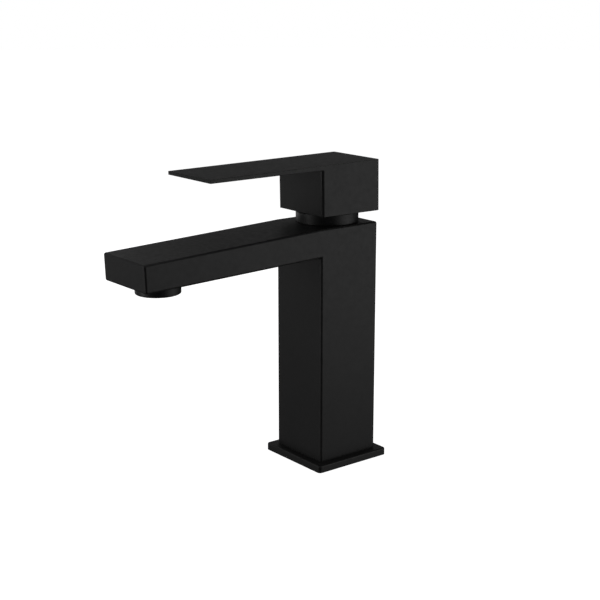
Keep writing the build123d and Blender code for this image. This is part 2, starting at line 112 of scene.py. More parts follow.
class MIXER_PG_casting(bpy.types.PropertyGroup):
    """Sizes of the column and spout."""

    edge: length("Edge radius", "Radius of the casting's outer edges", 1.2)
    segments: IntProperty(name="Edge segments", description="Steps round each edge", default=6, min=2, max=16)
    root_depth: length("Root depth", "Depth of the spout where it leaves the column", 15.8)
    tip_depth: length("Tip depth", "Depth of the spout at its end", 14.9)
    fall: length("Fall", "Drop of the spout's top towards its end", 4.2)
    end_lean: length("End lean", "Set-back of the end face's lower edge", 0.6)
    foot_wall: length("Foot wall", "Wall round the hollow foot", 4.0)
    foot_height: length("Foot height", "Top of the hollow foot above the deck", 50.0)
    hose_x: length("Hose X", "Sideways place of each hose port", 7.5)
    hose_y: length("Hose Y", "Front to back place of the hose ports", 3.5)
    stud_y: length("Stud Y", "Front to back place of the stud bore", -8.5)
    nipple_radius: length("Nipple radius", "Thread radius of the outlet nipple", 11.0)
    nipple_bore: length("Nipple bore", "Bore radius of the outlet nipple", 9.6)
    nipple_drop: length("Nipple drop", "Reach of the nipple below the spout", 4.0)


class MIXER_PG_lever(bpy.types.PropertyGroup):
    """Sizes of the lever's block and blade."""

    edge: length("Rear edge", "Radius of the block's rear upright edges", 1.2)
    front_edge: length("Front edge", "Radius of the block's front upright edges", 1.7)
    top_edge: length("Top edge", "Radius of the top's edges", 0.14)
    fine_edge: length("Fine edge", "Radius of the remaining edges", 0.25)
    front: length("Front", "Block's front face from the column's axis", 18.9)
    lean: length("Lean", "Forward lean of the block's faces", 0.5)
    front_rise: length("Front rise", "Rise of the block's underside towards the front", 0.5)
    top_fall: length("Top fall", "Fall of the top towards the blade's tip", 0.7)
    tip: length("Tip", "Blade thickness at its tip", 2.0)
    root: length("Root", "Blade thickness at the block", 2.7)
    side_wall: length("Side wall", "Wall at the block's sides", 1.7)
    front_wall: length("Front wall", "Wall at the block's front", 2.9)
    rear_wall: length("Rear wall", "Wall at the block's rear", 3.8)
    roof: length("Roof", "Thickness over the hollow", 4.2)
    boss_wall: length("Boss wall", "Wall round the stem's socket", 2.0)


class MIXER_PG_trim(bpy.types.PropertyGroup):
    """Sizes of the foot plate, collar, aerator ring and index plug."""

    plate_corner: length("Plate corner", "Corner radius of the foot plate", 1.8)
    plate_edge: length("Plate edge", "Radius of the plate's top edge", 0.9)
    plate_floor: length("Plate floor", "Web under the column's foot", 1.5)
    plate_ledge: length("Plate ledge", "Reach of that web under the foot", 3.4)
    gasket_width: length("Gasket width", "Width of the gasket's band", 2.4)
    collar_edge: length("Collar edge", "Radius of the collar's top edge", 0.4)
    collar_lip: length("Collar lip", "Thickness of the collar's top", 1.4)
    collar_wall: length("Collar wall", "Wall of the collar", 1.6)
    collar_mouth: length("Collar mouth", "Radius of the collar's opening", 10.04)
    aerator_edge: length("Aerator edge", "Radius of the aerator ring's lower edge", 0.6)
    aerator_lip: length("Aerator lip", "Thickness of the ring's lip", 1.0)
    aerator_mouth: length("Aerator mouth", "Radius of the ring's opening", 9.0)
    mark: length("Mark radius", "Radius of the hot and cold marks", 2.1)


class MIXER_PG_finish(bpy.types.PropertyGroup):
    """Colours and surface of the finishes."""

    coat: tint("Coat", "Matte black coat", (0.013, 0.013, 0.0132))
    coat_roughness: share("Coat roughness", "Roughness of the coat", 0.44)
    coat_gloss: share("Coat gloss", "Specular level of the coat", 0.42)
    grain: length("Grain", "Size of the coat's grain", 0.45)
    peel: length("Peel", "Size of the coat's slow ripple", 2.6)
    brass: tint("Brass", "Machined brass", (0.70, 0.50, 0.24))
    steel: tint("Steel", "Turned stainless steel", (0.56, 0.56, 0.57))
    ceramic: tint("Ceramic", "Lapped alumina", (0.80, 0.78, 0.72))
    rubber: tint("Rubber", "Black rubber", (0.018, 0.018, 0.018))
    pale: tint("Pale plastic", "Natural acetal", (0.72, 0.72, 0.69))
    grey: tint("Grey plastic", "Grey acetal", (0.26, 0.27, 0.28))
    dark: tint("Dark plastic", "Black moulded plastic", (0.016, 0.016, 0.017))
    hot: tint("Hot mark", "Red of the hot mark", (0.45, 0.02, 0.015))
    cold: tint("Cold mark", "Blue of the cold mark", (0.015, 0.06, 0.40))


class MIXER_PG_studio(bpy.types.PropertyGroup):
    """Camera, floor and lights."""

    azimuth: FloatProperty(
        name="Azimuth", description="Camera's turn from the front", default=radians(51.77), subtype="ANGLE"
    )
    elevation: FloatProperty(
        name="Elevation", description="Camera's height angle", default=radians(14.36), subtype="ANGLE"
    )
    distance: length("Distance", "Camera to the point that it looks at", 722.25)
    lens: FloatProperty(name="Lens", description="Focal length in millimetres", default=77.4, unit="CAMERA")
    aim_y: length("Aim Y", "Front to back place of the point that the camera looks at", -19.26)
    aim_z: length("Aim Z", "Height of the point that the camera looks at", 94.78)
    floor: tint("Floor", "Colour of the floor", (0.86, 0.86, 0.86))
    floor_glow: FloatProperty(name="Floor glow", description="Light that keeps the floor even", default=1.0)
    backdrop: FloatProperty(name="Backdrop", description="Brightness behind the mixer", default=1.0)
    surround: FloatProperty(name="Surround", description="Brightness of the dim surroundings", default=0.03)
    light: FloatProperty(
        name="Light", description="Power of all the lights together", default=4.03, unit="POWER"
    )


# ---- mesh helpers ----

def piece_from(name, mesh, body, slot, *nodes, material=None):
    """Object from a bmesh, in its slot's finish or its own, riding on a body and standing for CAD nodes."""
    data = bpy.data.meshes.new(name)
    mesh.to_mesh(data)
    mesh.free()
    piece = bpy.data.objects.new(name, data)
    bpy.context.scene.collection.objects.link(piece)
    data.materials.append(material or finish_for(slot))
    smooth(piece)
    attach(piece, body)
    if nodes:
        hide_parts(*nodes)
    return piece


SHARP_ANGLE = radians(32)
FACE_WEIGHT = 90


def smooth(piece):
    """Smooth shading that keeps flat faces flat and true edges sharp."""
    for face in piece.data.polygons:
        face.use_smooth = True
    piece.data.set_sharp_from_angle(angle=SHARP_ANGLE)
    weighted = piece.modifiers.new("even_normals", "WEIGHTED_NORMAL")
    weighted.keep_sharp = True
    weighted.weight = FACE_WEIGHT


def prism(outline, half):
    """Closed prism along X from an outline of (y, z) points."""
    mesh = bmesh.new()
    left = [mesh.verts.new((-half, y, z)) for y, z in outline]
    right = [mesh.verts.new((half, y, z)) for y, z in outline]
    mesh.faces.new(left)
    mesh.faces.new(right)
    count = len(outline)
    for i in range(count):
        j = (i + 1) % count
        mesh.faces.new((left[i], left[j], right[j], right[i]))
    bmesh.ops.recalc_face_normals(mesh, faces=mesh.faces)
    return mesh


def box(low, high):
    """Closed box between two corners."""
    outline = [(low[1], low[2]), (high[1], low[2]), (high[1], high[2]), (low[1], high[2])]
    mesh = prism(outline, (high[0] - low[0]) / 2)
    bmesh.ops.translate(mesh, verts=mesh.verts, vec=((low[0] + high[0]) / 2, 0, 0))
    return mesh


def round_edges(mesh, edges, radius, segments):
    """Round off edges."""
    bmesh.ops.bevel(
        mesh, geom=edges, offset=radius, offset_type="OFFSET", segments=segments,
        profile=0.5, affect="EDGES", clamp_overlap=True,
    )


def uprights(mesh):
    """Edges that stand along Z, give or take a lean."""
    upright = 0.9
    found = []
    for edge in mesh.edges:
        along = edge.verts[0].co - edge.verts[1].co
        if abs(along.z) > upright * along.length:
            found.append(edge)
    return found


def square_post(half, corner, bottom, top, segments=8):
    """Square prism with rounded upright edges."""
    mesh = box((-half, -half, bottom), (half, half, top))
    round_edges(mesh, uprights(mesh), corner, segments)
    return mesh


def lathe(profile, steps=128, x=0.0, y=0.0):
    """Closed solid of revolution from a closed loop of (radius, z) points that stays off the axis."""
    mesh = bmesh.new()
    rings = []
    for step in range(steps):
        angle = 2 * pi * step / steps
        rings.append([mesh.verts.new((x + r * cos(angle), y + r * sin(angle), z)) for r, z in profile])
    count = len(profile)
    for step in range(steps):
        here, there = rings[step], rings[(step + 1) % steps]
        for i in range(count):
            j = (i + 1) % count
            mesh.faces.new((here[i], there[i], there[j], here[j]))
    bmesh.ops.recalc_face_normals(mesh, faces=mesh.faces)
    return mesh


def post(radius, bottom, top, x=0.0, y=0.0, steps=96):
    """Upright cylinder."""
    mesh = bmesh.new()
    place = Matrix.Translation((x, y, (bottom + top) / 2))
    bmesh.ops.create_cone(
        mesh, cap_ends=True, segments=steps, radius1=radius, radius2=radius, depth=top - bottom, matrix=place
    )
    return mesh


def along_y(radius, front, rear, z, steps=64):
    """Cylinder that lies along Y."""
    mesh = post(radius, -(rear - front) / 2, (rear - front) / 2, steps=steps)
    turn = Matrix.Translation((0, (front + rear) / 2, z)) @ Matrix.Rotation(pi / 2, 4, "X")
    bmesh.ops.transform(mesh, matrix=turn, verts=mesh.verts)
    return mesh


def threaded_post(radius, depth, pitch, bottom, top, x=0.0, y=0.0, steps=72):
    """Upright screw thread: radius is the crest, depth the groove."""
    rows_per_turn = 8
    rows = int(round((top - bottom) / pitch * rows_per_turn))
    mesh = bmesh.new()
    rings = []
    for row in range(rows + 1):
        z = bottom + (top - bottom) * row / rows
        ring = []
        for step in range(steps):
            turn = step / steps
            phase = ((z - bottom) / pitch - turn) % 1.0
            groove = depth * abs(2 * phase - 1)
            r = radius - groove
            ring.append(mesh.verts.new((x + r * cos(2 * pi * turn), y + r * sin(2 * pi * turn), z)))
        rings.append(ring)
    for lower, upper in zip(rings, rings[1:]):
        for i in range(steps):
            j = (i + 1) % steps
            mesh.faces.new((lower[i], lower[j], upper[j], upper[i]))
    mesh.faces.new(rings[0][::-1])
    mesh.faces.new(rings[-1])
    bmesh.ops.recalc_face_normals(mesh, faces=mesh.faces)
    return mesh


WELD = 2e-7     # points nearer than this are one


def combine(mesh, tool, operation):
    """Boolean of two closed meshes. Both are used up, and the result is returned."""
    scene = bpy.context.scene
    made = []
    for name, source in (("work", mesh), ("tool", tool)):
        data = bpy.data.meshes.new(name)
        source.to_mesh(data)
        source.free()
        made.append(bpy.data.objects.new(name, data))
        scene.collection.objects.link(made[-1])
    work, cutter = made
    cut = work.modifiers.new("cut", "BOOLEAN")
    cut.operation = operation
    cut.solver = "EXACT"
    cut.object = cutter
    result = bmesh.new()
    result.from_object(work, bpy.context.evaluated_depsgraph_get())
    for item in made:
        data = item.data
        bpy.data.objects.remove(item)
        bpy.data.meshes.remove(data)
    bmesh.ops.remove_doubles(result, verts=result.verts, dist=WELD)
    return result


def cut_all(mesh, tools):
    """Take every tool out of the mesh."""
    for tool in tools:
        mesh = combine(mesh, tool, "DIFFERENCE")
    return mesh


# ---- material helpers ----

def blank_material(name):
    """New node material, its tree and its surface shader."""
    material = bpy.data.materials.new(name)
    material.use_nodes = True
    tree = material.node_tree
    return material, tree, tree.nodes["Principled BSDF"]


def add(tree, kind, **values):
    """Add a node and set its sockets or settings by name."""
    made = tree.nodes.new(kind)
    for key, value in values.items():
        socket = made.inputs.get(key.replace("_", " "))
        if socket is not None:
            socket.default_value = value
        else:
            setattr(made, key, value)
    return made


def noise(tree, size, detail=2.0, roughness=0.5):
    """Solid noise whose cells are about the given size in metres."""
    place = add(tree, "ShaderNodeTexCoord")
    made = add(tree, "ShaderNodeTexNoise", Scale=1.0 / size, Detail=detail, Roughness=roughness)
    tree.links.new(place.outputs["Object"], made.inputs["Vector"])
    return made


def ranged(tree, source, low, high, from_low=0.3, from_high=0.7):
    """Map a noise value to a range."""
    made = add(tree, "ShaderNodeMapRange")
    made.inputs["From Min"].default_value = from_low
    made.inputs["From Max"].default_value = from_high
    made.inputs["To Min"].default_value = low
    made.inputs["To Max"].default_value = high
    tree.links.new(source, made.inputs["Value"])
    return made.outputs["Result"]


def tinted(tree, factor, dark, light):
    """Colour between two, by a factor."""
    made = add(tree, "ShaderNodeMix", data_type="RGBA")
    colours = [socket for socket in made.inputs if socket.type == "RGBA"]
    colours[0].default_value = (*dark, 1)
    colours[1].default_value = (*light, 1)
    tree.links.new(factor, made.inputs["Factor"])
    return [socket for socket in made.outputs if socket.type == "RGBA"][0]


def bumped(tree, shader, *layers):
    """Chain bump layers of (height, strength, distance) into the shader's normal."""
    last = None
    for height, strength, distance in layers:
        made = add(tree, "ShaderNodeBump", Strength=strength, Distance=distance)
        tree.links.new(height, made.inputs["Height"])
        if last is not None:
            tree.links.new(last, made.inputs["Normal"])
        last = made.outputs["Normal"]
    tree.links.new(last, shader.inputs["Normal"])


def scaled(colour, factor):
    """Colour times a factor."""
    return tuple(min(1.0, part * factor) for part in colour)


# ---- finishes ----

COAT_CLOUD = 22.0 * MM      # size of the coat's slow change of tone
COAT_THIN = 0.9
COAT_THICK = 1.12
COAT_SMOOTHER = 0.03
COAT_ROUGHER = 0.04
PEEL_STRENGTH = 0.12
PEEL_DEPTH = 0.10 * MM
GRAIN_STRENGTH = 0.22
GRAIN_DEPTH = 0.03 * MM
TURNING_STRETCH = 60.0
TURNING_DEPTH = 0.02 * MM
METAL_CLOUD = 4.0 * MM
MOULD_FLOW = 6.0 * MM
CERAMIC_SPECK = 0.4 * MM
CERAMIC_LAP = 1.2 * MM
CERAMIC_DEPTH = 0.005 * MM


def powder_coat():
    """Powder coat: near black, fine grain over a slow ripple, smoother where the film lies thicker."""
    finish = bpy.context.scene.mixer_finish
    material, tree, shader = blank_material("black_powder_coat")
    cloud = noise(tree, COAT_CLOUD, 3.0)
    peel = noise(tree, finish.peel, 2.0)
    grain = noise(tree, finish.grain, 3.0, 0.6)
    tone = ranged(tree, cloud.outputs["Fac"], 0.0, 1.0)
    colour = tinted(tree, tone, scaled(finish.coat, COAT_THIN), scaled(finish.coat, COAT_THICK))
    tree.links.new(colour, shader.inputs["Base Color"])
    rough = finish.coat_roughness
    roughness = ranged(tree, peel.outputs["Fac"], rough - COAT_SMOOTHER, rough + COAT_ROUGHER)
    tree.links.new(roughness, shader.inputs["Roughness"])
    shader.inputs["Specular IOR Level"].default_value = finish.coat_gloss
    ripple = (peel.outputs["Fac"], PEEL_STRENGTH, PEEL_DEPTH)
    texture = (grain.outputs["Fac"], GRAIN_STRENGTH, GRAIN_DEPTH)
    bumped(tree, shader, ripple, texture)
    return material


def metal(name, colour, roughness, line):
    """Machined metal with fine turning lines of the given spacing."""
    material, tree, shader = blank_material(name)
    place = add(tree, "ShaderNodeTexCoord")
    stretch = add(tree, "ShaderNodeMapping")
    stretch.inputs["Scale"].default_value = (TURNING_STRETCH, TURNING_STRETCH, 1.0 / line)
    lines = add(tree, "ShaderNodeTexNoise", Scale=1.0, Detail=3.0)
    tree.links.new(place.outputs["Object"], stretch.inputs["Vector"])
    tree.links.new(stretch.outputs["Vector"], lines.inputs["Vector"])
    cloud = noise(tree, METAL_CLOUD, 3.0)
    colour_out = tinted(tree, cloud.outputs["Fac"], scaled(colour, 0.86), scaled(colour, 1.08))
    tree.links.new(colour_out, shader.inputs["Base Color"])
    shader.inputs["Metallic"].default_value = 1.0
    spread = ranged(tree, lines.outputs["Fac"], roughness - 0.08, roughness + 0.1)
    tree.links.new(spread, shader.inputs["Roughness"])
    bumped(tree, shader, (lines.outputs["Fac"], 0.25, TURNING_DEPTH))
    return material


def moulded(name, colour, roughness, grain, depth):
    """Moulded plastic or rubber: slight flow marks and a fine mould texture."""
    material, tree, shader = blank_material(name)
    flow = noise(tree, MOULD_FLOW, 2.0)
    fine = noise(tree, grain, 2.0)
    colour_out = tinted(tree, flow.outputs["Fac"], scaled(colour, 0.9), scaled(colour, 1.08))
    tree.links.new(colour_out, shader.inputs["Base Color"])
    spread = ranged(tree, fine.outputs["Fac"], roughness - 0.05, roughness + 0.06)
    tree.links.new(spread, shader.inputs["Roughness"])
    bumped(tree, shader, (fine.outputs["Fac"], 0.3, depth))
    return material


def lapped_ceramic(colour):
    """Lapped ceramic: fine speckle, a low sheen and faint lapping marks."""
    material, tree, shader = blank_material("lapped_ceramic")
    speck = noise(tree, CERAMIC_SPECK, 4.0, 0.7)
    lap = noise(tree, CERAMIC_LAP, 2.0)
    colour_out = tinted(tree, speck.outputs["Fac"], scaled(colour, 0.93), scaled(colour, 1.04))
    tree.links.new(colour_out, shader.inputs["Base Color"])
    spread = ranged(tree, lap.outputs["Fac"], 0.16, 0.24)
    tree.links.new(spread, shader.inputs["Roughness"])
    bumped(tree, shader, (speck.outputs["Fac"], 0.1, CERAMIC_DEPTH))
    return material


FINISHES = {}


def finish_for(slot):
    """Finish of a material slot. All of them are made the first time that one is asked for."""
    if not FINISHES:
        finish = bpy.context.scene.mixer_finish
        FINISHES["matte_black_coat"] = powder_coat()
        FINISHES["bare_brass"] = metal("machined_brass", finish.brass, 0.30, line=0.2 * MM)
        FINISHES["stainless_steel"] = metal("turned_steel", finish.steel, 0.28, line=0.15 * MM)
        FINISHES["alumina"] = lapped_ceramic(finish.ceramic)
        for slot_name, name, colour, roughness, grain, depth in (
            ("black_rubber", "moulded_rubber", finish.rubber, 0.72, 0.3 * MM, 0.02 * MM),
            ("white_acetal", "pale_moulding", finish.pale, 0.42, 0.5 * MM, 0.01 * MM),
            ("grey_acetal", "grey_moulding", finish.grey, 0.45, 0.5 * MM, 0.01 * MM),
            ("black_plastic", "black_moulding", finish.dark, 0.5, 0.4 * MM, 0.01 * MM),
        ):
            FINISHES[slot_name] = moulded(name, colour, roughness, grain, depth)
    return FINISHES[slot]


# ---- casting ----

FOOT_CORNER = 3.0 * MM
POCKET_DEPTH = 36.0 * MM
POCKET_RADIUS = 12.7 * MM
MOUTH_RADIUS = 14.0 * MM
MOUTH_DEPTH = 8.0 * MM
WATERWAY_HEIGHT = 6.0 * MM
STUD_RADIUS = 3.9 * MM
STUD_GROOVE = 0.5 * MM
STUD_PITCH = 1.25 * MM
STUD_TOP = 66.0 * MM
HOSE_RADIUS = 4.95 * MM
HOSE_GROOVE = 0.45 * MM
HOSE_PITCH = 1.0 * MM
HOSE_DEPTH = 12.0 * MM
SUPPLY_RADIUS = 2.5 * MM
SUPPLY_X = 6.0 * MM
SUPPLY_Y = 2.5 * MM
SUPPLY_STEPS = 48
NIPPLE_GROOVE = 0.4 * MM
NIPPLE_PITCH = 1.0 * MM
NIPPLE_ROOT = 2.0 * MM
NIPPLE_STEPS = 96


def spout_under(sizes, y):
    """Height of the spout's underside at a place along it."""
    half = CASTING_HIGH.x
    root = CASTING_HIGH.z - sizes.root_depth
    tip = CASTING_HIGH.z - sizes.fall - sizes.tip_depth
    along = (-y - half) / (-CASTING_LOW.y - sizes.end_lean - half)
    return root + (tip - root) * along


def outlet_y():
    """Y of the outlet's axis."""
    return (OUTLET_LOW.y + OUTLET_HIGH.y) / 2


def casting_skin(sizes):
    """Column and spout as one prism with rounded edges."""
    half = CASTING_HIGH.x
    top = CASTING_HIGH.z
    foot = CASTING_LOW.z
    tip = CASTING_LOW.y
    tip_top = top - sizes.fall
    outline = [
        (half, foot),
        (half, top),
        (-half, top),
        (tip, tip_top),
        (tip + sizes.end_lean, tip_top - sizes.tip_depth),
        (-half, top - sizes.root_depth),
        (-half, foot),
    ]
    mesh = prism(outline, half)
    near = 0.01 * MM
    rounded = []
    for edge in mesh.edges:
        middle = (edge.verts[0].co + edge.verts[1].co) / 2
        at_foot = middle.z < foot + near
        at_fold = abs(middle.y + half) < near and abs(middle.z - top) < near
        if not at_foot and not at_fold:
            rounded.append(edge)
    round_edges(mesh, rounded, sizes.edge, sizes.segments)
    return mesh


def casting_tools(sizes):
    """Everything that is cut from the casting."""
    half = CASTING_HIGH.x
    top = CASTING_HIGH.z
    foot = CASTING_LOW.z
    seat = top - POCKET_DEPTH
    y = outlet_y()
    under = spout_under(sizes, y)
    thread_low = sizes.foot_height - STUD_PITCH
    hose_low = sizes.foot_height - HOSE_PITCH
    hose_top = sizes.foot_height + HOSE_DEPTH
    tools = [
        square_post(half - sizes.foot_wall, FOOT_CORNER, foot - CUT_OVER, sizes.foot_height),
        post(POCKET_RADIUS, seat, top + CUT_OVER),
        post(MOUTH_RADIUS, top - MOUTH_DEPTH, top + CUT_OVER),
        post(sizes.nipple_bore, under - sizes.nipple_drop - CUT_OVER, under + WATERWAY_HEIGHT, 0, y),
        threaded_post(STUD_RADIUS, STUD_GROOVE, STUD_PITCH, thread_low, STUD_TOP, 0, sizes.stud_y),
    ]
    for side in (-1, 1):
        x = side * sizes.hose_x
        tools.append(threaded_post(HOSE_RADIUS, HOSE_GROOVE, HOSE_PITCH, hose_low, hose_top, x, sizes.hose_y))
        low = hose_top - CUT_OVER
        tools.append(post(SUPPLY_RADIUS, low, seat + CUT_OVER, side * SUPPLY_X, SUPPLY_Y, SUPPLY_STEPS))
    return tools


class MIXER_OT_casting(bpy.types.Operator):
    """Build the column and spout with its nipple, hollow foot and threaded ports"""

    bl_idname = "mixer.casting"
    bl_label = "Casting"

    def execute(self, context):
        sizes = context.scene.mixer_casting
        y = outlet_y()
        under = spout_under(sizes, y)
        mesh = casting_skin(sizes)
        low = under - sizes.nipple_drop
        root = under + NIPPLE_ROOT
        radius = sizes.nipple_radius
        nipple = threaded_post(radius, NIPPLE_GROOVE, NIPPLE_PITCH, low, root, 0, y, NIPPLE_STEPS)
        mesh = combine(mesh, nipple, "UNION")
        mesh = cut_all(mesh, casting_tools(sizes))
        piece_from("column_and_spout", mesh, "mixer_body", "matte_black_coat", "body_casting")
        return {"FINISHED"}


# ---- foot plate ----

PLATE_STEPS = 6
POCKET_CORNER = 1.0 * MM
OPENING_CORNER = 3.0 * MM


class MIXER_OT_foot_plate(bpy.types.Operator):
    """Build the square foot plate with its pocket and gasket groove"""

    bl_idname = "mixer.foot_plate"
    bl_label = "Foot Plate"

    def execute(self, context):
        sizes = context.scene.mixer_trim
        column = CASTING_HIGH.x
        mesh = square_post(PLATE_HIGH.x, sizes.plate_corner, PLATE_LOW.z, PLATE_HIGH.z)
        rim = [edge for edge in mesh.edges if min(v.co.z for v in edge.verts) > PLATE_HIGH.z - TINY]
        round_edges(mesh, rim, sizes.plate_edge, PLATE_STEPS)
        outer = GASKET_HIGH.x + FIT_GAP
        inner = GASKET_HIGH.x - sizes.gasket_width - FIT_GAP
        groove = combine(
            square_post(outer, sizes.plate_corner, -CUT_OVER, GASKET_HIGH.z + FIT_GAP),
            square_post(inner, sizes.plate_corner, -2 * CUT_OVER, 2 * GASKET_HIGH.z),
            "DIFFERENCE",
        )
        pocket = square_post(column + FIT_GAP, POCKET_CORNER, sizes.plate_floor, PLATE_HIGH.z + CUT_OVER)
        opening = square_post(column - sizes.plate_ledge, OPENING_CORNER, -CUT_OVER, PLATE_HIGH.z)
        mesh = cut_all(mesh, [pocket, opening, groove])
        piece_from("foot_plate", mesh, "mixer_body", "matte_black_coat", "base_plate")
        return {"FINISHED"}


# ---- collar ----

COLLAR_BREAK = 0.25 * MM
BREAK_STEPS = 4
COLLAR_STEPS = 160


def arc(radius, centre, start, end, steps=6):
    """Points of an arc in the (radius, z) plane, angles in degrees."""
    points = []
    for step in range(steps + 1):
        angle = radians(start + (end - start) * step / steps)
        points.append((centre[0] + radius * cos(angle), centre[1] + radius * sin(angle)))
    return points


class MIXER_OT_collar(bpy.types.Operator):
    """Build the round collar between the column and the lever"""

    bl_idname = "mixer.collar"
    bl_label = "Collar"

    def execute(self, context):
        sizes = context.scene.mixer_trim
        outer = RING_HIGH.x
        low = RING_LOW.z
        top = RING_HIGH.z
        edge = sizes.collar_edge
        inner = outer - sizes.collar_wall
        mouth = sizes.collar_mouth
        profile = [(inner, low)]
        profile += arc(COLLAR_BREAK, (outer - COLLAR_BREAK, low + COLLAR_BREAK), -90, 0, BREAK_STEPS)
        profile += arc(edge, (outer - edge, top - edge), 0, 90)
        profile += arc(COLLAR_BREAK, (mouth + COLLAR_BREAK, top - COLLAR_BREAK), 90, 180, BREAK_STEPS)
        profile += [(mouth, top - sizes.collar_lip), (inner, top - sizes.collar_lip)]
        mesh = lathe(profile, COLLAR_STEPS)
        piece_from("collar", mesh, "mixer_body", "matte_black_coat", "cover_ring")
        return {"FINISHED"}


# ---- lever ----

REAR_STEPS = 6
TOP_STEPS = 4
FINE_STEPS = 3
FRONT_STEPS = 8
SHARP_EDGE = radians(60)
FACES_UP = 0.9
BOSS_RISE = 11.0 * MM       # bottom of the stem's socket above the column
HOLLOW_CORNER = 2.0 * MM
HOLLOW_STEPS = 5
WEB_HALF = 4.5 * MM
PLUG_SEAT = 1.45 * MM


def lever_outline(sizes):
    """Side outline of the block and blade."""
    rear = LEVER_HIGH.y
    top = LEVER_HIGH.z
    tip = LEVER_LOW.y
    tip_top = top - sizes.top_fall
    return [
        (rear, LEVER_LOW.z),
        (rear - sizes.lean, top),
        (tip, tip_top),
        (tip, tip_top - sizes.tip),
        (-sizes.front - sizes.lean, top - sizes.root),
        (-sizes.front, LEVER_LOW.z + sizes.front_rise),
    ]


def lever_skin(sizes):
    """Outside of the lever with its three sizes of edge."""
    mesh = prism(lever_outline(sizes), LEVER_HIGH.x)
    tall = [edge for edge in uprights(mesh) if min(v.co.y for v in edge.verts) > 0]
    round_edges(mesh, tall, sizes.edge, REAR_STEPS)
    roof = max((face for face in mesh.faces if face.normal.z > FACES_UP), key=lambda face: face.calc_area())
    round_edges(mesh, list(roof.edges), sizes.top_edge, TOP_STEPS)
    sharp = [edge for edge in mesh.edges if edge.calc_face_angle(0) > SHARP_EDGE]
    round_edges(mesh, sharp, sizes.fine_edge, FINE_STEPS)
    return mesh


def corner_tool(sizes, side):
    """Cutter that rounds one front upright edge of the block, up to the blade's underside."""
    wide = LEVER_HIGH.x
    radius = sizes.front_edge
    blade = LEVER_HIGH.z - sizes.root
    foot = LEVER_LOW.z + sizes.front_rise
    beside = wide + CUT_OVER
    mesh = bmesh.new()
    rings = []
    for z in (foot - CUT_OVER, blade):
        front = -sizes.front - sizes.lean * (z - foot) / (blade - foot)
        before = front - CUT_OVER
        outline = [(wide - radius, before), (beside, before), (beside, front + radius)]
        for step in range(FRONT_STEPS + 1):
            angle = pi / 2 * step / FRONT_STEPS
            outline.append((wide - radius + radius * cos(angle), front + radius - radius * sin(angle)))
        rings.append([mesh.verts.new((side * x, y, z)) for x, y in outline])
    low, high = rings
    for i in range(len(low)):
        j = (i + 1) % len(low)
        mesh.faces.new((low[i], low[j], high[j], high[i]))
    mesh.faces.new(low)
    mesh.faces.new(high)
    bmesh.ops.recalc_face_normals(mesh, faces=mesh.faces)
    return mesh


def lever_tools(sizes):
    """Hollow, socket, screw bore and plug seat of the lever."""
    wide = LEVER_HIGH.x - sizes.side_wall
    roof = LEVER_HIGH.z - sizes.roof
    front = -sizes.front + sizes.front_wall
    boss_low = CASTING_HIGH.z + BOSS_RISE
    grub_z = (SCREW_LOW.z + SCREW_HIGH.z) / 2
    socket = STEM_HIGH.x + FIT_GAP
    inside = LEVER_HIGH.y - sizes.rear_wall
    hollow = box((-wide, front, LEVER_LOW.z - CUT_OVER), (wide, inside, roof))
    round_edges(hollow, uprights(hollow), HOLLOW_CORNER, HOLLOW_STEPS)
    boss = post(socket * sqrt(2) + sizes.boss_wall, boss_low, roof + CUT_OVER)
    web = box((-WEB_HALF, 0, boss_low), (WEB_HALF, LEVER_HIGH.y, grub_z + WEB_HALF))
    hollow = cut_all(hollow, [boss, web])
    rear = LEVER_HIGH.y + CUT_OVER
    return [
        hollow,
        box((-socket, -socket, boss_low - CUT_OVER), (socket, socket, STEM_HIGH.z + FIT_GAP)),
        along_y(SCREW_HIGH.x + FIT_GAP, 0, rear, grub_z),
        along_y(CAP_HIGH.x + FIT_GAP, CAP_HIGH.y - PLUG_SEAT, rear, grub_z),
        corner_tool(sizes, -1),
        corner_tool(sizes, 1),
    ]


class MIXER_OT_lever(bpy.types.Operator):
    """Build the lever's hollow block and flat blade"""

    bl_idname = "mixer.lever"
    bl_label = "Lever"

    def execute(self, context):
        sizes = context.scene.mixer_lever
        mesh = cut_all(lever_skin(sizes), lever_tools(sizes))
        piece_from("lever_block_and_blade", mesh, "lever", "matte_black_coat", "lever_handle")
        return {"FINISHED"}


# ---- aerator ----

MOUTH_BREAK = 0.2 * MM
SHOULDER_EDGE = 0.3 * MM
AERATOR_STEPS = 144


class MIXER_OT_aerator(bpy.types.Operator):
    """Build the screwed aerator ring"""

    bl_idname = "mixer.aerator"
    bl_label = "Aerator"

    def execute(self, context):
        sizes = context.scene.mixer_trim
        casting = context.scene.mixer_casting
        y = outlet_y()
        outer = OUTLET_HIGH.x
        low = OUTLET_LOW.z
        top = OUTLET_HIGH.z
        edge = sizes.aerator_edge
        inner = casting.nipple_radius + FIT_GAP
        mouth = sizes.aerator_mouth
        lip = low + sizes.aerator_lip
        profile = [(mouth, low + MOUTH_BREAK), (mouth + MOUTH_BREAK, low)]
        profile += arc(edge, (outer - edge, low + edge), -90, 0)
        profile += arc(SHOULDER_EDGE, (outer - SHOULDER_EDGE, top - SHOULDER_EDGE), 0, 90, BREAK_STEPS)
        profile += [(inner, top), (inner, lip), (mouth, lip)]
        mesh = lathe(profile, AERATOR_STEPS, 0, y)
        piece_from("aerator_ring", mesh, "mixer_body", "matte_black_coat", "aerator_housing")
        return {"FINISHED"}


# ---- index plug ----

PLUG_STEPS = 96
PLUG_EDGE = 0.35 * MM
PLUG_EDGE_STEPS = 5
PLUG_JOIN = 0.5 * MM
MARK_GAP = 0.12 * MM
MARK_PROUD = 0.06 * MM
MARK_DEPTH = 0.3 * MM
MARK_STEPS = 24
ENAMEL_GRAIN = 0.8 * MM
ENAMEL_DEPTH = 0.005 * MM


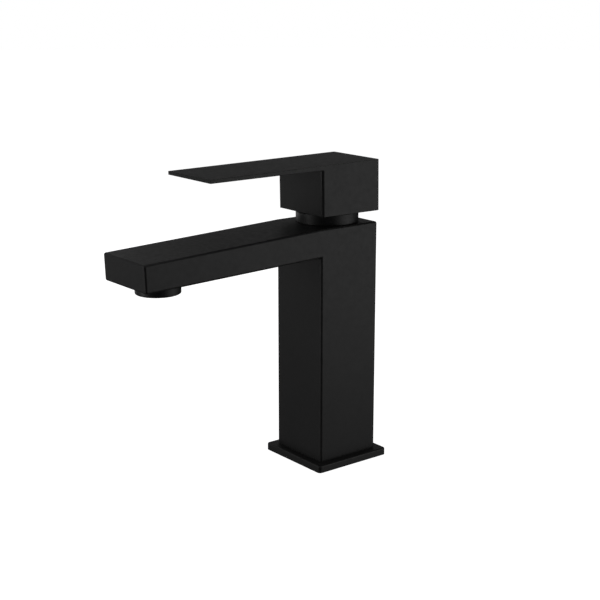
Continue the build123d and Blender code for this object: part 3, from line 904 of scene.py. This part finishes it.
def half_disc(radius, y, z, side, thickness):
    """Half of a thin disc that faces +Y, on one side of its middle line."""
    mesh = bmesh.new()
    outline = []
    for step in range(MARK_STEPS + 1):
        angle = -pi / 2 + pi * step / MARK_STEPS
        outline.append((side * (MARK_GAP + radius * cos(angle)), z + radius * sin(angle)))
    front = [mesh.verts.new((x, y, height)) for x, height in outline]
    back = [mesh.verts.new((x, y - thickness, height)) for x, height in outline]
    mesh.faces.new(front)
    mesh.faces.new(back)
    count = len(outline)
    for i in range(count):
        j = (i + 1) % count
        mesh.faces.new((front[i], front[j], back[j], back[i]))
    bmesh.ops.recalc_face_normals(mesh, faces=mesh.faces)
    return mesh


class MIXER_OT_index_plug(bpy.types.Operator):
    """Build the plug over the screw hole, with its hot and cold marks"""

    bl_idname = "mixer.index_plug"
    bl_label = "Index Plug"

    def execute(self, context):
        finish = context.scene.mixer_finish
        sizes = context.scene.mixer_trim
        z = (CAP_LOW.z + CAP_HIGH.z) / 2
        radius = CAP_HIGH.x
        seat = CAP_HIGH.y - PLUG_SEAT
        head = along_y(radius, seat, CAP_HIGH.y, z, PLUG_STEPS)
        rim = [edge for edge in head.edges if min(v.co.y for v in edge.verts) > CAP_HIGH.y - TINY]
        round_edges(head, rim, PLUG_EDGE, PLUG_EDGE_STEPS)
        plug = along_y(SCREW_HIGH.x, CAP_LOW.y, seat + PLUG_JOIN, z)
        mesh = combine(head, plug, "UNION")
        piece_from("index_plug", mesh, "lever", "black_plastic", "index_cap")
        for name, colour, side in (("hot_mark", finish.hot, 1), ("cold_mark", finish.cold, -1)):
            enamel = moulded(name + "_enamel", colour, 0.3, ENAMEL_GRAIN, ENAMEL_DEPTH)
            mark = half_disc(sizes.mark, CAP_HIGH.y + MARK_PROUD, z, side, MARK_DEPTH)
            piece_from(name, mark, "lever", "black_plastic", material=enamel)
        return {"FINISHED"}


# ---- pieces kept from the frame ----

class MIXER_OT_inner_parts(bpy.types.Operator):
    """Give every piece kept from the frame its finish"""

    bl_idname = "mixer.inner_parts"
    bl_label = "Inner Parts"

    def execute(self, context):
        for row in frame["record"]["subparts"]:
            piece = frame["nodes"][row["node"]]
            for place in piece.material_slots:
                place.material = finish_for(row["material_slot"])
        return {"FINISHED"}


# ---- studio ----

FLOOR_RADIUS = 4.0
FLOOR_STEPS = 96
FLOOR_DROP = 0.02 * MM

# name, turn from the camera and height angle in degrees, distance, width and height in metres,
# share of the light
SOFTBOXES = (
    ("overhead_box", 0, 89, 0.75, 0.80, 0.80, 0.199),
    ("right_box", 80, 0, 0.75, 0.70, 0.50, 0.221),
    ("right_low_box", 80, -35, 0.75, 0.70, 0.50, 0.035),
    ("right_front_strip", 55, 4, 0.75, 0.30, 0.50, 0.029),
    ("left_strip", -70, 4, 0.75, 0.30, 0.50, 0.285),
    ("left_low_box", -100, -35, 0.75, 0.70, 0.50, 0.023),
    ("left_rear_box", -140, 5, 0.75, 0.60, 0.60, 0.162),
    ("rear_bank", 180, 15, 0.75, 1.20, 0.40, 0.046),
)


def towards(azimuth, elevation):
    """Unit vector from the mixer in a direction, with the azimuth counted from the spout's side."""
    level = cos(elevation)
    return Vector((sin(azimuth) * level, -cos(azimuth) * level, sin(elevation)))


def softbox(name, studio, turn, rise, distance, width, height, part):
    """Rectangular light that faces the middle of the mixer."""
    middle = (Vector(CAD_BOX[0]) + Vector(CAD_BOX[1])) / 2
    direction = towards(studio.azimuth + radians(turn), radians(rise))
    light = bpy.data.lights.new(name, "AREA")
    light.shape = "RECTANGLE"
    light.size = width
    light.size_y = height
    light.energy = studio.light * part
    lamp = bpy.data.objects.new(name, light)
    lamp.location = middle + direction * distance
    lamp.rotation_euler = direction.to_track_quat("Z", "Y").to_euler()
    bpy.context.scene.collection.objects.link(lamp)


def surroundings(studio):
    """White behind the mixer, dim all round it."""
    world = bpy.data.worlds.new("studio")
    bpy.context.scene.world = world
    world.use_nodes = True
    tree = world.node_tree
    tree.nodes.clear()
    seen = add(tree, "ShaderNodeBackground", Color=(1, 1, 1, 1), Strength=studio.backdrop)
    dim = add(tree, "ShaderNodeBackground", Color=(1, 1, 1, 1), Strength=studio.surround)
    path = add(tree, "ShaderNodeLightPath")
    mix = add(tree, "ShaderNodeMixShader")
    out = add(tree, "ShaderNodeOutputWorld")
    tree.links.new(path.outputs["Is Camera Ray"], mix.inputs[0])
    tree.links.new(dim.outputs[0], mix.inputs[1])
    tree.links.new(seen.outputs[0], mix.inputs[2])
    tree.links.new(mix.outputs[0], out.inputs["Surface"])


def floor_material(studio):
    """Pale matte floor that glows a little, so that it stays even."""
    material, tree, shader = blank_material("pale_floor")
    cloud = noise(tree, 0.3, 2.0)
    colour = tinted(tree, cloud.outputs["Fac"], scaled(studio.floor, 0.995), studio.floor)
    tree.links.new(colour, shader.inputs["Base Color"])
    shader.inputs["Roughness"].default_value = 0.9
    shader.inputs["Emission Color"].default_value = (1, 1, 1, 1)
    shader.inputs["Emission Strength"].default_value = studio.floor_glow
    return material


def floor(studio):
    """Large round floor at the mixer's foot."""
    mesh = bmesh.new()
    bmesh.ops.create_circle(mesh, cap_ends=True, segments=FLOOR_STEPS, radius=FLOOR_RADIUS)
    data = bpy.data.meshes.new("floor")
    mesh.to_mesh(data)
    mesh.free()
    plane = bpy.data.objects.new("floor", data)
    plane.location.z = CAD_BOX[0][2] - FLOOR_DROP
    bpy.context.scene.collection.objects.link(plane)
    data.materials.append(floor_material(studio))
    plane.visible_glossy = False
    plane.visible_diffuse = False
    plane.visible_shadow = False


def camera(studio):
    """Camera on its orbit round the aim point."""
    aim = Vector((0, studio.aim_y, studio.aim_z))
    direction = towards(studio.azimuth, studio.elevation)
    data = bpy.data.cameras.new("camera")
    data.lens = studio.lens
    data.sensor_width = 36.0
    data.clip_start = 0.01
    eye = bpy.data.objects.new("camera", data)
    eye.location = aim + direction * studio.distance
    eye.rotation_euler = direction.to_track_quat("Z", "Y").to_euler()
    bpy.context.scene.collection.objects.link(eye)
    bpy.context.scene.camera = eye


class MIXER_OT_studio(bpy.types.Operator):
    """Set up the floor, the soft lights and the camera"""

    bl_idname = "mixer.studio"
    bl_label = "Studio"

    def execute(self, context):
        studio = context.scene.mixer_studio
        surroundings(studio)
        floor(studio)
        camera(studio)
        for name, *place in SOFTBOXES:
            softbox(name, studio, *place)
        context.scene.view_settings.view_transform = "Standard"
        return {"FINISHED"}


# ---- panel and registration ----

OPERATORS = (
    MIXER_OT_inner_parts,
    MIXER_OT_casting,
    MIXER_OT_foot_plate,
    MIXER_OT_collar,
    MIXER_OT_lever,
    MIXER_OT_aerator,
    MIXER_OT_index_plug,
    MIXER_OT_studio,
)

GROUPS = {
    "mixer_casting": MIXER_PG_casting,
    "mixer_lever": MIXER_PG_lever,
    "mixer_trim": MIXER_PG_trim,
    "mixer_finish": MIXER_PG_finish,
    "mixer_studio": MIXER_PG_studio,
}


class MIXER_PT_panel(bpy.types.Panel):
    """Lists the mixer's pieces"""

    bl_label = "Basin Mixer"
    bl_idname = "MIXER_PT_panel"
    bl_space_type = "VIEW_3D"
    bl_region_type = "UI"
    bl_category = "Mixer"

    def draw(self, context):
        for operator in OPERATORS:
            self.layout.operator(operator.bl_idname)


def register():
    """Register the settings, operators and panel."""
    for name, group in GROUPS.items():
        bpy.utils.register_class(group)
        setattr(bpy.types.Scene, name, PointerProperty(type=group))
    for operator in OPERATORS:
        bpy.utils.register_class(operator)
    bpy.utils.register_class(MIXER_PT_panel)


def unregister():
    """Take them out again."""
    bpy.utils.unregister_class(MIXER_PT_panel)
    for operator in reversed(OPERATORS):
        bpy.utils.unregister_class(operator)
    for name, group in reversed(GROUPS.items()):
        delattr(bpy.types.Scene, name)
        bpy.utils.unregister_class(group)


def main():
    """Make every piece in order."""
    register()
    bpy.ops.mixer.inner_parts()
    bpy.ops.mixer.casting()
    bpy.ops.mixer.foot_plate()
    bpy.ops.mixer.collar()
    bpy.ops.mixer.lever()
    bpy.ops.mixer.aerator()
    bpy.ops.mixer.index_plug()
    bpy.ops.mixer.studio()


if __name__ == "__main__":
    main()
